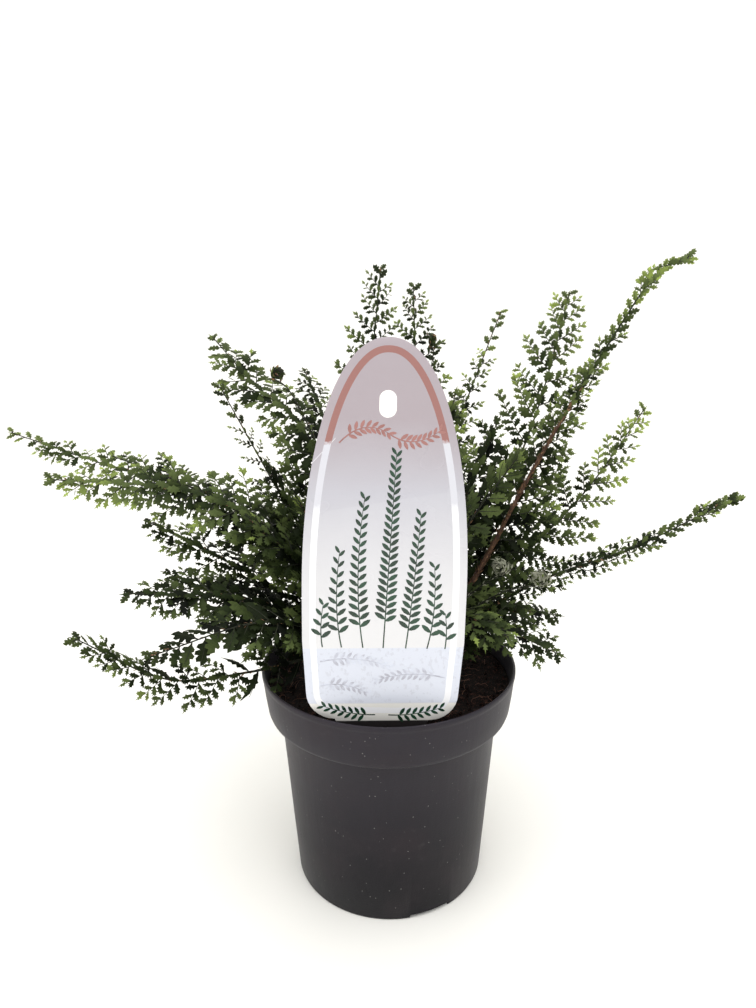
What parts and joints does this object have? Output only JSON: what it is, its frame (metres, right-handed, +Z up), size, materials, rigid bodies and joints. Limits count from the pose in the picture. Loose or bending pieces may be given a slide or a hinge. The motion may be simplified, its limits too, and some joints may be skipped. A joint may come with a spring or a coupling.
{
  "type": "potted soft shield fern",
  "caption": "Soft shield fern with finely divided arching fronds in a round plastic nursery pot of peat, with a tongue-shaped plant label stuck in the front.",
  "frame": {"origin": "centre of the pot's flat underside, on the surface it stands on", "axes": "+Z up; the label faces -Y, the front; +X to the right as seen from the front"},
  "size_m": [0.3725, 0.2387, 0.3225],
  "materials": {
    "pot_plastic": "satin black polypropylene",
    "peat": "damp fibrous peat",
    "scaly_crown": "dry brown scales",
    "label_plastic": "printed glossy sheet plastic",
    "fern_green": "soft satin leaf, dark green to yellow-green at the tips"
  },
  "bodies": {
    "root": {"pot": "pot_plastic", "soil": "peat", "crown": "scaly_crown", "label": "label_plastic", "frond_left_long": "fern_green", "frond_left_farthest": "fern_green", "frond_left_upper": "fern_green", "frond_left_rising": "fern_green", "crozier_left": "fern_green", "frond_left_mid": "fern_green", "frond_left_low": "fern_green", "frond_left_inner": "fern_green", "frond_left_lowest": "fern_green", "frond_left_front": "fern_green", "frond_left_upright": "fern_green", "frond_right_tall": "fern_green", "frond_right_bright": "fern_green", "frond_right_slender": "fern_green", "crozier_right": "fern_green", "frond_right_light": "fern_green", "frond_right_low": "fern_green", "frond_right_front": "fern_green", "frond_right_short": "fern_green", "frond_front_right": "fern_green", "frond_right_upright": "fern_green", "frond_back_tallest": "fern_green", "frond_back_tall": "fern_green", "frond_back_left": "fern_green", "frond_back_right": "fern_green", "frond_back_low": "fern_green", "frond_back_low_left": "fern_green", "frond_back_low_right": "fern_green"}
  },
  "joints": []
}
